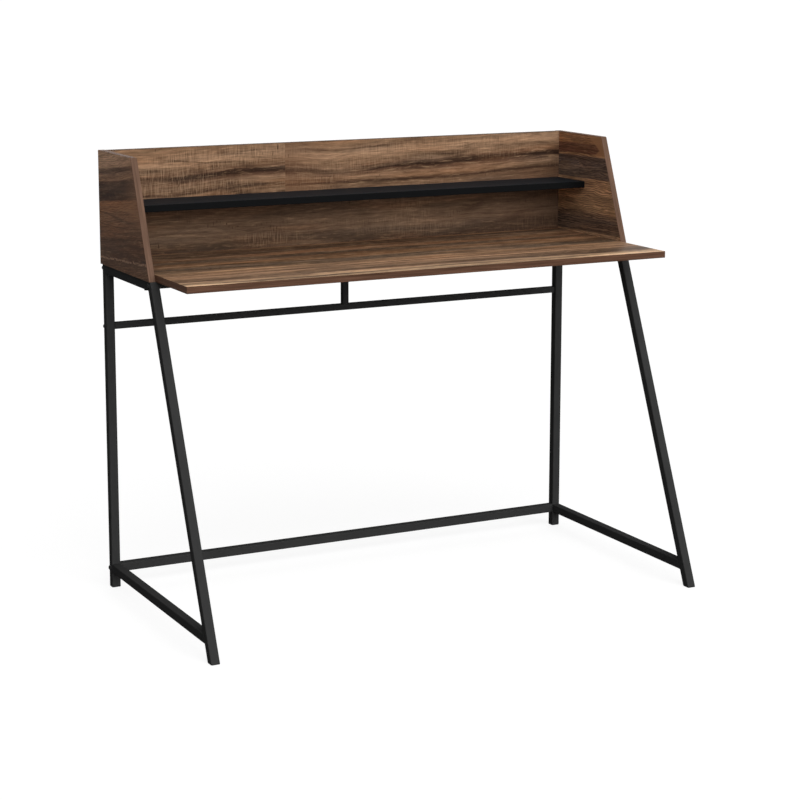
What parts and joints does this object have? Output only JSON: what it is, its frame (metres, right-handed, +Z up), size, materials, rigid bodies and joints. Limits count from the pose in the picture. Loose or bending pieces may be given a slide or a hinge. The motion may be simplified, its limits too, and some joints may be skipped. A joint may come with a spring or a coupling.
{
  "type": "computer desk",
  "caption": "Computer desk with a wood-look hutch and a narrow black shelf, on a black square-tube frame with leaning front legs.",
  "frame": {"origin": "on the floor, at the middle of the footprint", "axes": "+X along the width, to the right of someone who sits at the desk; +Y from the front to the back; +Z up"},
  "size_m": [1.2038, 0.625, 1.002],
  "materials": {
    "wood_board": "satin laminate printed as sawn brown wood",
    "black_board": "satin black laminate",
    "black_frame": "semi-matt black powder coat",
    "black_bolt": "satin black plating",
    "glide_plastic": "moulded black",
    "plated_steel": "zinc plated",
    "cam_metal": "die-cast zinc alloy",
    "dowel_wood": "plain beech"
  },
  "bodies": {
    "root": {"desktop": "wood_board", "hutch_side_left": "wood_board", "hutch_side_right": "wood_board", "hutch_back_panel": "wood_board", "hutch_shelf": "black_board", "left_rear_leg": "black_frame", "right_rear_leg": "black_frame", "left_front_leg": "black_frame", "right_front_leg": "black_frame", "left_top_rail": "black_frame", "right_top_rail": "black_frame", "left_lower_rail": "black_frame", "right_lower_rail": "black_frame", "rear_top_crossbar": "black_frame", "front_top_crossbar": "black_frame", "rear_mid_crossbar": "black_frame", "rear_lower_crossbar": "black_frame", "centre_post": "black_frame", "rear_leg_glides": "glide_plastic", "front_leg_glides": "glide_plastic", "slim_crossbar_plugs": "plated_steel", "slim_crossbar_bolts": "black_bolt", "lower_crossbar_plugs": "plated_steel", "lower_crossbar_bolts": "black_bolt", "desktop_screws": "black_bolt", "hutch_side_screws": "black_bolt", "shelf_screws": "plated_steel", "dowels": "dowel_wood", "cam_bolts": "plated_steel", "cam_locks": "cam_metal"}
  },
  "joints": []
}
